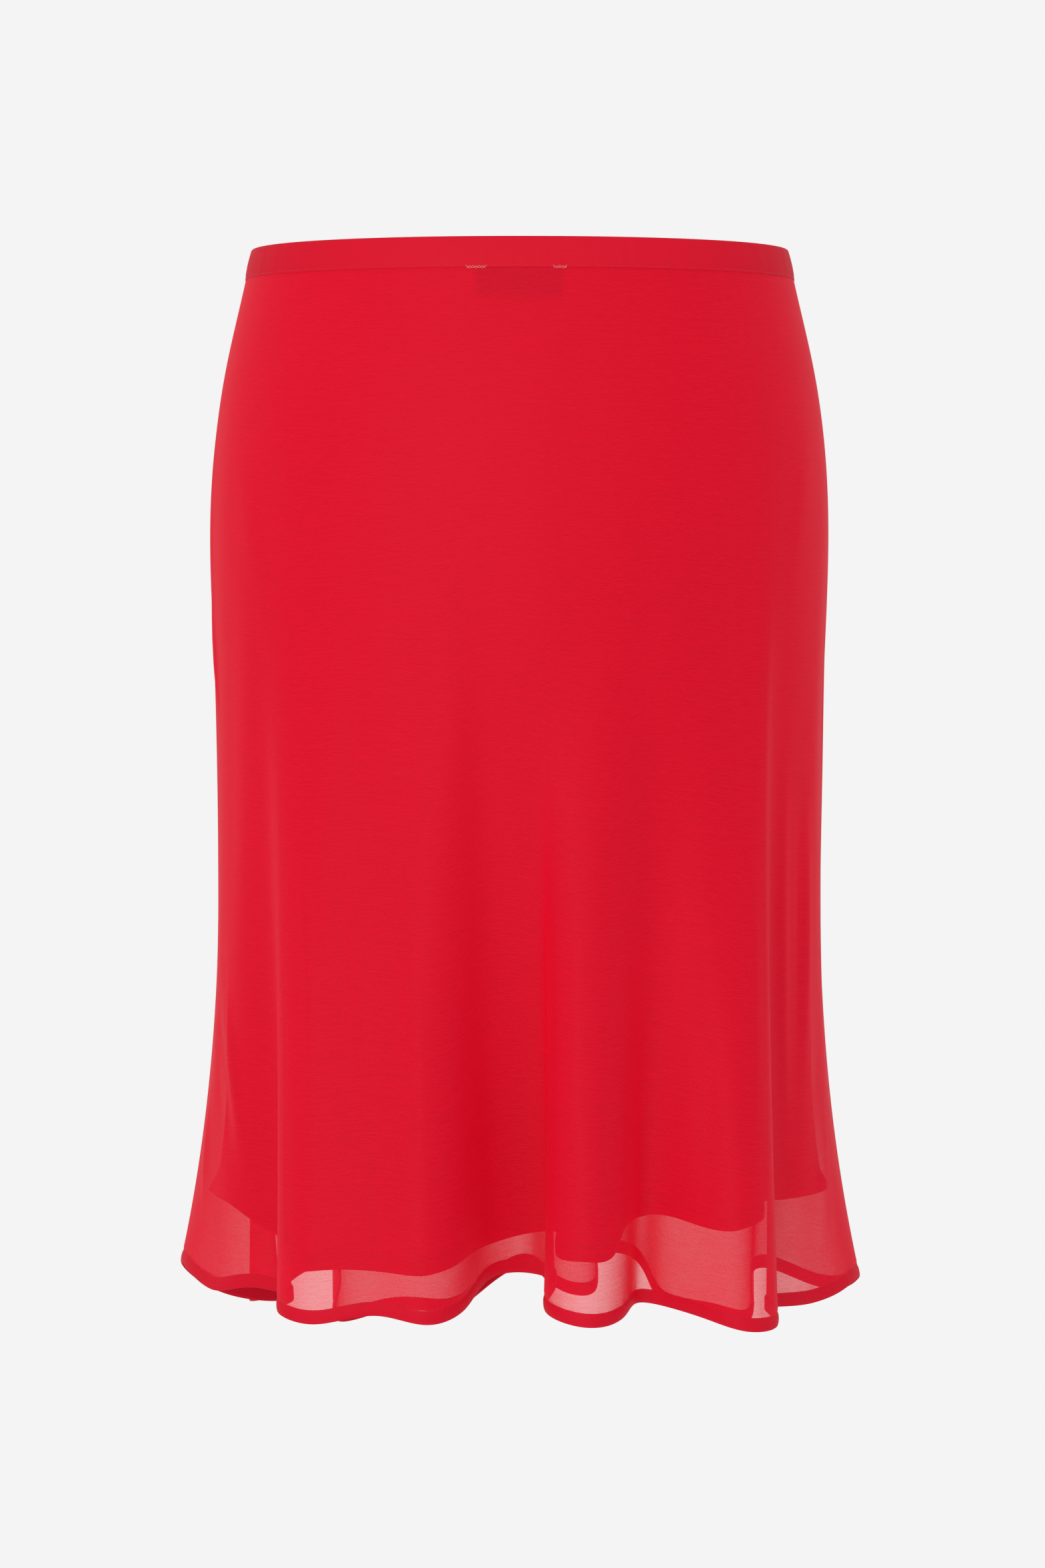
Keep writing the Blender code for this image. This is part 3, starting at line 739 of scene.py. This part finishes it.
class SkirtStage(bpy.types.PropertyGroup):
    """Backdrop, light and camera."""

    backdrop: bpy.props.FloatProperty(
        name="Backdrop", description="Brightness of the plain backdrop", subtype="FACTOR",
        min=0.0, max=1.0, default=0.905)
    room_light: bpy.props.FloatProperty(
        name="Room light", description="Strength of the even light from all round",
        min=0.0, max=2.0, default=0.72)
    key_power: bpy.props.FloatProperty(
        name="Key light", description="Power of the large soft light at the front left", unit="POWER",
        min=0.0, default=38.5)
    top_power: bpy.props.FloatProperty(
        name="Top light", description="Power of the soft light overhead", unit="POWER",
        min=0.0, default=4.0)
    camera_distance: bpy.props.FloatProperty(
        name="Camera distance", description="Distance of the camera behind the skirt", unit="LENGTH",
        min=1.0, default=4.6)
    view_height: bpy.props.FloatProperty(
        name="View height", description="Height of the view at the skirt's middle", unit="LENGTH",
        min=0.1, default=1.0584)


class PieceMaker:
    """What the operators share."""

    bl_options = {"REGISTER", "UNDO"}

    def execute(self, context):
        self.make(context.scene.skirt_cloth, context.scene.skirt_sewing)
        return {"FINISHED"}


BAND_COLUMNS = 440
BAND_DEPTHS = (-BAND_PROUD, BAND_WALL - BAND_PROUD)
BAND_TOP_ROUND = 0.0013
BAND_FOOT_ROUND = 0.0009
BAND_STITCHES_ABOVE_EDGE = 0.0016
BAND_PUFF = 0.0005
BAND_DIP_WIDTH = 0.0009
BAND_RIPPLES = ((67, 0.3, 0.00007), (103, 1.9, 0.00006), (151, 0.8, 0.00004))


def band_profile(sewing):
    """The casing's section from the top of its outer wall down, under its foot and up its inner wall."""
    outer, inner = BAND_DEPTHS
    middle, half = (outer + inner) / 2, (inner - outer) / 2
    wall_below = np.linspace(BAND_TOP_ROUND, BAND_HEIGHT - BAND_FOOT_ROUND, 15)
    share = (wall_below - wall_below[0]) / np.ptp(wall_below)
    stitch_line = BAND_HEIGHT - BAND_STITCHES_ABOVE_EDGE
    dip = sewing.stitch_dip * bump(wall_below - stitch_line, BAND_DIP_WIDTH)
    swell = BAND_PUFF * np.sin(np.pi * share) - dip
    arc = np.linspace(0, np.pi, 7)[1:-1]
    foot_below = BAND_HEIGHT - BAND_FOOT_ROUND * (1 - np.sin(arc))
    top_below = BAND_TOP_ROUND * (1 - np.sin(arc))
    below = np.concatenate([wall_below, foot_below, wall_below[::-1], top_below, wall_below[:1]])
    depth = np.concatenate([
        outer - swell, middle - half * np.cos(arc), inner + swell[::-1], middle + half * np.cos(arc),
        [outer - swell[0]]])
    return below, depth


class SKIRT_OT_waistband(PieceMaker, bpy.types.Operator):
    """Elasticated casing, closed round the waist, softly rippled by the elastic inside it"""

    bl_idname = "skirt.waistband"
    bl_label = "Waistband"

    def make(self, cloth, sewing):
        places = np.linspace(0, HEM_LENGTH, BAND_COLUMNS + 1)[:, None]
        below, depth = band_profile(sewing)
        turns = 2 * np.pi * places / HEM_LENGTH
        ripple = sum(height * np.sin(count * turns + phase) for count, phase, height in BAND_RIPPLES)
        points = inside_crepe(places, below[None], depth[None] - ripple)
        run = np.concatenate([[0], np.cumsum(np.hypot(np.diff(below), np.diff(depth)))])
        cut = flat_cut(places * (FULL_TURN * GIRTH_DEGREE) / HEM_LENGTH, run[None])
        piece = grid_object("elastic_waistband", points, cut, closed_round=True, closed_over=True)
        give(piece, crepe_finish("doubled crepe", cloth, cloth.band_colour, 1.0), "waistband", "waistband")


COLUMNS = 290
EDGE_COLUMNS = (0.0, 0.0008, 0.0016, 0.0025)
ROW_SPACING = 0.0052
# The heights above the hem's edge of the rows in its turning, as shares of its height.
HEM_SHARES = (1.6, 1.28, 1.1, 1.0, 0.9, 0.74, 0.55, 0.36, 0.2)
INSIDE_SHARES = (0.2, 0.45, 0.75, 0.95)
HEM_DIP_WIDTH = 0.0012
SIDE_GROOVE = 0.0004
SIDE_GROOVE_WIDTH = 0.0014
PUCKERS = ((131, 0.5, 0.00012), (197, 2.7, 0.00009))
CLOTH_THICKNESS = 0.00025
# Down from the top of a turned hem, its darker look begins over this distance.
TURNING_EDGE = 0.0008
# The painted shadow of the label on the lining fades over this distance.
PAINTED_LABEL_SHADOW_BLUR = 0.0025
HEM_STITCH_POINTS = 420


def panel_columns(start, end):
    """Places from one side seam to the other, closer together next to the seams."""
    edge = np.array(EDGE_COLUMNS)
    inner = np.linspace(start + edge[-1], end - edge[-1], COLUMNS)[1:-1]
    return np.concatenate([start + edge, inner, end - edge[::-1]])[:, None]


def turned_rows(turn, sewing, layers):
    """The rows of a turned hem: heights above its edge and depths inside the cloth's face."""
    up = turn * np.array(HEM_SHARES)
    swell = sewing.hem_puff * np.sin(np.pi * np.clip(up / turn, 0, 1))
    depth = sewing.stitch_dip * bump(up - turn, HEM_DIP_WIDTH) - swell
    back = sewing.layer_gap * (layers - 1)
    arc = np.linspace(0, np.pi, 7)
    edge_up, edge_depth = back * (1 - np.sin(arc)), back * (1 - np.cos(arc)) / 2
    rise = turn * np.array(INSIDE_SHARES)
    parts = [(up, depth), (edge_up, edge_depth), (rise, np.full_like(rise, back))]
    if layers == 3:
        over = np.array([1.0, 1.02, 1.0]) * turn
        parts += [(over, back - sewing.layer_gap * np.array([0.15, 0.5, 0.85])),
                  (rise[::-1], np.full_like(rise, back - sewing.layer_gap))]
    return (np.concatenate(column)[None] for column in zip(*parts))


def panel(name, which, hem_below, turn, layers, depth_at, sewing):
    """A panel of cloth down to its turned hem, with that hem marked for the material."""
    start, end = PANELS[which]
    places = panel_columns(start, end)
    hem = hem_below(places)
    up, hem_depth = turned_rows(turn, sewing, layers)
    top, last = BAND_HEIGHT - TUCKED_IN, (hem - up[:, :1])
    count = math.ceil((last.max() - top) / ROW_SPACING)
    plain = top + (last - top) * np.linspace(0, 1, count + 1)[None, :-1]
    below = np.concatenate([plain, hem - up], axis=1)
    extra = np.concatenate([np.zeros((1, count)), hem_depth], axis=1)
    side = np.minimum(abs(places - start), abs(places - end))
    turns = 2 * np.pi * places / HEM_LENGTH
    pucker = sum(height * np.sin(many * turns + phase) for many, phase, height in PUCKERS)
    pucker = pucker * bump(below - (hem - turn), turn * 0.6)
    depth = depth_at(places, below) + extra + SIDE_GROOVE * bump(side, SIDE_GROOVE_WIDTH)
    points = inside_crepe(places, below, depth + pucker - lift_at(places, below))
    down = np.concatenate([[0], np.cumsum(np.linalg.norm(np.diff(points, axis=1), axis=2).mean(axis=0))])
    piece = grid_object(name, points, flat_cut(places, down[None]))
    mark(piece, "turned", np.clip((below - (hem - turn)) / TURNING_EDGE, 0, 1))
    return piece


def crepe_hem(places):
    return round_hem(places) @ fold["hem_below"] + hem_stray(places)


def lining_hem(places):
    return round_hem(places) @ fold["lining_below"] + hem_stray(places + 0.5)


def no_depth(places, below):
    return np.zeros(np.broadcast_shapes(places.shape, below.shape))


class SKIRT_OT_crepe(PieceMaker, bpy.types.Operator):
    """The back and front panels of sheer crepe, each with a narrow hem turned twice"""

    bl_idname = "skirt.crepe"
    bl_label = "Crepe panels"

    def make(self, cloth, sewing):
        finish = crepe_finish("sheer crepe", cloth, cloth.crepe_colour, cloth.crepe_cover)
        for which in PANELS:
            piece = panel(f"crepe_{which}_cloth", which, crepe_hem, sewing.crepe_hem, 3, no_depth, sewing)
            give(piece, finish, "crepe", f"crepe_{which}")
            stitches = hem_stitches(which, "crepe", crepe_hem, sewing.crepe_hem, no_depth, sewing)


class SKIRT_OT_lining(PieceMaker, bpy.types.Operator):
    """The back and front panels of the lining, shorter than the crepe, each with a wider turned hem"""

    bl_idname = "skirt.lining"
    bl_label = "Lining panels"

    def make(self, cloth, sewing):
        finish = lining_finish("satin lining", cloth)
        for which in PANELS:
            piece = panel(f"lining_{which}_cloth", which, lining_hem, sewing.lining_hem, 2, lining_depth,
                          sewing)
            # Marks the label's painted shadow on the back lining.
            mark(piece, "painted_label_shadow", self.painted_label_shadow(piece, which))
            wall = piece.modifiers.new("Thickness", "SOLIDIFY")
            wall.thickness = CLOTH_THICKNESS
            wall.offset = -1.0
            give(piece, finish, "lining", f"lining_{which}")
            stitches = hem_stitches(which, "lining", lining_hem, sewing.lining_hem, lining_depth, sewing)

    def painted_label_shadow(self, piece, which):
        """1 where the label lies behind the back panel, fading over its edges: the mask of the label's
        painted shadow on the lining.
        """
        points = np.array([vertex.co for vertex in piece.data.vertices])
        if which == "front":
            return np.zeros(len(points))
        beside = (LABEL_WIDTH / 2 - abs(points[:, 0])) / PAINTED_LABEL_SHADOW_BLUR
        under = (SEAM_TOP + LABEL_HEIGHT + points[:, 2]) / PAINTED_LABEL_SHADOW_BLUR
        return np.clip(0.5 + beside, 0, 1) * np.clip(0.5 + under, 0, 1)


def hem_stitches(which, cloth_name, hem_below, turn, depth_at, sewing):
    """The line of stitches along the top of a panel's turned hem."""
    start, end = PANELS[which]
    places = np.linspace(start + 2 * MILLIMETRE, end - 2 * MILLIMETRE, HEM_STITCH_POINTS)[:, None]
    below = hem_below(places) - turn
    proud = sewing.stitch_dip - sewing.thread * 0.25
    path = inside_crepe(places, below, depth_at(places, below) + proud - lift_at(places, below))[:, 0]
    colour = tuple(sewing.thread_colour)
    thread = thread_finish("red thread", colour)
    piece = sew(f"{cloth_name}_{which}_hem_stitches", [path], False, pitch=sewing.stitch_pitch,
                stitch_length=sewing.stitch_length, thread=sewing.thread, slant=0.10, seed=len(which),
                thread_material=thread)
    return give(piece, None, cloth_name)


def back_places(across, below):
    """The places round the hem whose lines pass the back at these distances to the side, at a height."""
    tries = np.linspace(left_side, right_side, 2000)
    x, _ = crepe_point(tries, np.full(tries.shape, below))
    return np.interp(across, x, tries)[:, None]


LABEL_COLUMNS = 41
LABEL_ROWS = 14
LABEL_FOLD_ROUND = 0.0003
LABEL_CURL = 0.0009
RIBBON_THICKNESS = 0.0002


class SKIRT_OT_label(PieceMaker, bpy.types.Operator):
    """Blank woven label at the middle of the back, folded double and sewn into the band's seam"""

    bl_idname = "skirt.label"
    bl_label = "Label"

    def make(self, cloth, sewing):
        places = back_places(np.linspace(-LABEL_WIDTH / 2, LABEL_WIDTH / 2, LABEL_COLUMNS), SEAM_TOP)
        top, foot = BAND_HEIGHT - TUCKED_IN / 2, SEAM_TOP + LABEL_HEIGHT
        wall = np.linspace(top, foot - LABEL_FOLD_ROUND, LABEL_ROWS)
        arc = np.linspace(0, np.pi, 7)[1:-1]
        below = np.concatenate([wall, foot - LABEL_FOLD_ROUND * (1 - np.sin(arc)), wall[::-1]])
        inward = np.concatenate([np.zeros(LABEL_ROWS), LABEL_FOLD_ROUND * (1 - np.cos(arc)),
                                 np.full(LABEL_ROWS, 2 * LABEL_FOLD_ROUND)])
        share = np.linspace(-1, 1, len(places))[:, None]
        curl = LABEL_CURL * share**2 * np.clip((below - SEAM_TOP) / LABEL_HEIGHT, 0, 1)
        depth = lining_depth(places, below[None]) + LINING_WALL + LABEL_GAP + inward + curl
        points = inside_crepe(places, below[None], depth)
        run = np.concatenate([[0], np.cumsum(np.hypot(np.diff(below), np.diff(inward)))])
        piece = grid_object("label_ribbon", points, flat_cut(share * LABEL_WIDTH / 2, run[None]))
        ribbon = piece.modifiers.new("Thickness", "SOLIDIFY")
        ribbon.thickness = RIBBON_THICKNESS
        ribbon.offset = -1.0
        give(piece, label_finish("woven label", cloth), "label", "label")


SEAM_COLUMNS = 7
SEAM_ROWS = 120
SEAM_DEPTH = 0.0011
SEAM_THICKNESS = 0.0007
# A seam thins to nothing over its last fortieth.
SEAM_TAPER = 40
SEAM_RIPPLE = 0.00015
SEAM_RIPPLE_LENGTH = 0.019


class SKIRT_OT_side_seams(PieceMaker, bpy.types.Operator):
    """Narrow felled seams inside the crepe and the lining, down both sides"""

    bl_idname = "skirt.side_seams"
    bl_label = "Side seams"

    def make(self, cloth, sewing):
        crepe = crepe_finish("seam crepe", cloth, cloth.crepe_colour, 1.0 - (1.0 - cloth.crepe_cover) ** 2)
        lining = lining_finish("seam lining", cloth)
        width = sewing.seam_width
        cloths = (("crepe", crepe, crepe_hem, no_depth, sewing.crepe_hem),
                  ("lining", lining, lining_hem, lining_depth, sewing.lining_hem))
        for name, finish, hem_below, depth_at, turn in cloths:
            for side, start in (("left", left_side), ("right", right_side - width)):
                across = np.linspace(0.0, width, SEAM_COLUMNS)
                loop = np.concatenate([across, across[::-1], across[:1]])
                inner = np.repeat([0.0, 1.0, 0.0], [SEAM_COLUMNS, SEAM_COLUMNS, 1])[:, None]
                places = (start + loop)[:, None]
                foot = hem_below(places) - turn * 0.5
                share = np.linspace(0, 1, SEAM_ROWS)[None]
                below = BAND_HEIGHT - TUCKED_IN + (foot - BAND_HEIGHT + TUCKED_IN) * share
                thick = SEAM_THICKNESS * np.clip((1 - share) * SEAM_TAPER, 0, 1) * inner
                ripple = SEAM_RIPPLE * np.sin(2 * np.pi * below / SEAM_RIPPLE_LENGTH + start)
                ripple = ripple * bump(loop - width / 2, width)[:, None]
                depth = depth_at(places, below) + SEAM_DEPTH + thick + ripple
                points = inside_crepe(places, below, depth - lift_at(places, below))
                piece = grid_object(f"{name}_{side}_seam", points, flat_cut(places, below),
                                    closed_round=True)
                give(piece, finish, name)


# The pale tacks beside the label's ends: where each group starts and ends across the back, and its zigzags.
TACK_GROUPS = ((-0.0350, -0.0222, 9), (0.0222, 0.0306, 6))
TACK_HEIGHT = 0.0016
BAND_STITCH_POINTS = 700


class SKIRT_OT_stitching(PieceMaker, bpy.types.Operator):
    """Stitching along the band's seam, and the pale tacks that hold the label's ends"""

    bl_idname = "skirt.stitching"
    bl_label = "Stitching"

    def make(self, cloth, sewing):
        places = np.linspace(0, HEM_LENGTH, BAND_STITCH_POINTS, endpoint=False)[:, None]
        below = np.array([[BAND_HEIGHT - BAND_STITCHES_ABOVE_EDGE]])
        proud = -BAND_PROUD + sewing.stitch_dip * 0.6 - sewing.thread * 0.25
        path = inside_crepe(places, below, np.full((1, 1), proud))[:, 0]
        thread = thread_finish("red thread", tuple(sewing.thread_colour))
        line = sew("band_stitches", [path], True, pitch=sewing.stitch_pitch,
                   stitch_length=sewing.stitch_length, thread=sewing.thread, slant=0.12, seed=3,
                   thread_material=thread)
        give(line, None, "waistband")

        zigzags = []
        for start, end, count in TACK_GROUPS:
            spots = np.linspace(start, end, 2 * count + 1)
            places = back_places(spots, BAND_HEIGHT)
            below = BAND_HEIGHT + TACK_HEIGHT * (np.arange(len(spots)) % 2 - 0.75)[:, None]
            zigzags.append(inside_crepe(places, below, np.full_like(below, -BAND_PROUD - 0.0001))[:, 0])
        pale = thread_finish("pale thread", tuple(sewing.tack_colour))
        tacks = sew("label_tacks", zigzags, False, pitch=0.0013, stitch_length=0.0014, thread=0.00032,
                    slant=0.45, seed=11, thread_material=pale)
        give(tacks, None, "label")


# The camera looks at this place, a hair to the right of the skirt's middle.
VIEW_MIDDLE = (0.0018, -0.360)
KEY_LIGHT_PLACE = (-1.0, -3.4, 0.40)
KEY_LIGHT_SIZE = 2.2
TOP_LIGHT_PLACE = (0.3, -1.2, 2.6)
TOP_LIGHT_SIZE = 2.0
FLOOR_RADIUS = 4.0
FLOOR_BELOW = 1.5
FLOOR_SIDES = 96


class SKIRT_OT_stage(bpy.types.Operator):
    """Plain backdrop, pale floor, soft studio lights and the camera"""

    bl_idname = "skirt.stage"
    bl_label = "Stage"
    bl_options = {"REGISTER", "UNDO"}

    def execute(self, context):
        stage = context.scene.skirt_stage
        context.scene.view_settings.view_transform = "Standard"
        self.backdrop(context.scene, stage)
        self.floor()
        self.light("key light", KEY_LIGHT_PLACE, KEY_LIGHT_SIZE, stage.key_power)
        self.light("top light", TOP_LIGHT_PLACE, TOP_LIGHT_SIZE, stage.top_power)
        self.camera(context.scene, stage)
        return {"FINISHED"}

    def backdrop(self, scene, stage):
        """A world that the camera sees as the plain backdrop, and that lights the skirt evenly."""
        world = bpy.data.worlds.new("backdrop")
        world.use_nodes = True
        world.node_tree.nodes.clear()
        nodes = NodeTree(world.node_tree)
        seen = nodes.node("ShaderNodeBackground", None, {"Color": (stage.backdrop,) * 3 + (1.0,)})
        room = nodes.node("ShaderNodeBackground", None, {"Color": (stage.room_light,) * 3 + (1.0,)})
        by_camera = nodes.node("ShaderNodeLightPath", output="Is Camera Ray")
        mixed = nodes.node("ShaderNodeMixShader", None, {0: by_camera, 1: room, 2: seen})
        out = world.node_tree.nodes.new("ShaderNodeOutputWorld")
        world.node_tree.links.new(mixed.socket, out.inputs["Surface"])
        scene.world = world

    def floor(self):
        """A pale floor well below the hem, as far down as when the skirt is worn."""
        turns = 2 * np.pi * np.arange(FLOOR_SIDES) / FLOOR_SIDES
        edge = [(FLOOR_RADIUS * math.cos(turn), FLOOR_RADIUS * math.sin(turn), -FLOOR_BELOW)
                for turn in turns.tolist()]
        mesh = bpy.data.meshes.new("floor")
        mesh.from_pydata(edge, [], [list(range(FLOOR_SIDES))])
        finish = Finish("pale floor", Roughness=0.9, Specular_IOR_Level=0.1)
        where = finish.node("ShaderNodeTexCoord", output="Object")
        tone = (0.5 + finish.noise(where, scale=1.5, detail=4.0)).clamped()
        finish.feed("Base Color", finish.mix(tone, (0.86, 0.86, 0.86), (0.90, 0.90, 0.90)))
        mesh.materials.append(finish.material)
        floor = bpy.data.objects.new("floor", mesh)
        bpy.context.scene.collection.objects.link(floor)

    def light(self, name, place, size, power):
        lamp = bpy.data.lights.new(name, "AREA")
        lamp.size = size
        lamp.energy = power
        lit = bpy.data.objects.new(name, lamp)
        lit.location = place
        aim = Vector((0.0, 0.0, VIEW_MIDDLE[1])) - Vector(place)
        lit.rotation_euler = aim.to_track_quat("-Z", "Y").to_euler()
        bpy.context.scene.collection.objects.link(lit)

    def camera(self, scene, stage):
        """Level with the skirt's middle and straight behind it, as the photo is framed."""
        lens = bpy.data.cameras.new("camera")
        lens.sensor_fit = "AUTO"
        lens.sensor_width = 36.0
        lens.lens = stage.camera_distance / stage.view_height * lens.sensor_width
        camera = bpy.data.objects.new("camera", lens)
        camera.location = (VIEW_MIDDLE[0], -stage.camera_distance, VIEW_MIDDLE[1])
        camera.rotation_euler = (math.pi / 2, 0.0, 0.0)
        scene.collection.objects.link(camera)
        scene.camera = camera


OPERATORS = (SKIRT_OT_waistband, SKIRT_OT_crepe, SKIRT_OT_lining, SKIRT_OT_label, SKIRT_OT_side_seams,
             SKIRT_OT_stitching, SKIRT_OT_stage)
GROUPS = (("skirt_cloth", SkirtCloth), ("skirt_sewing", SkirtSewing), ("skirt_stage", SkirtStage))


class SKIRT_PT_panel(bpy.types.Panel):
    """The skirt's sizes and colours, and a button for each group of pieces"""

    bl_idname = "SKIRT_PT_panel"
    bl_label = "Skirt"
    bl_space_type = "VIEW_3D"
    bl_region_type = "UI"
    bl_category = "Skirt"

    def draw(self, context):
        for name, group in GROUPS:
            box = self.layout.box()
            for setting in group.__annotations__:
                box.prop(getattr(context.scene, name), setting)
        for operator in OPERATORS:
            self.layout.operator(operator.bl_idname)


CLASSES = (*(group for _, group in GROUPS), *OPERATORS, SKIRT_PT_panel)


def register():
    for item in CLASSES:
        bpy.utils.register_class(item)
    for name, group in GROUPS:
        setattr(bpy.types.Scene, name, bpy.props.PointerProperty(type=group))


def unregister():
    for name, _ in GROUPS:
        delattr(bpy.types.Scene, name)
    for item in reversed(CLASSES):
        bpy.utils.unregister_class(item)


def main():
    register()
    bpy.ops.skirt.waistband()
    bpy.ops.skirt.crepe()
    bpy.ops.skirt.lining()
    bpy.ops.skirt.label()
    bpy.ops.skirt.side_seams()
    bpy.ops.skirt.stitching()
    bpy.ops.skirt.stage()


if __name__ == "__main__":
    main()
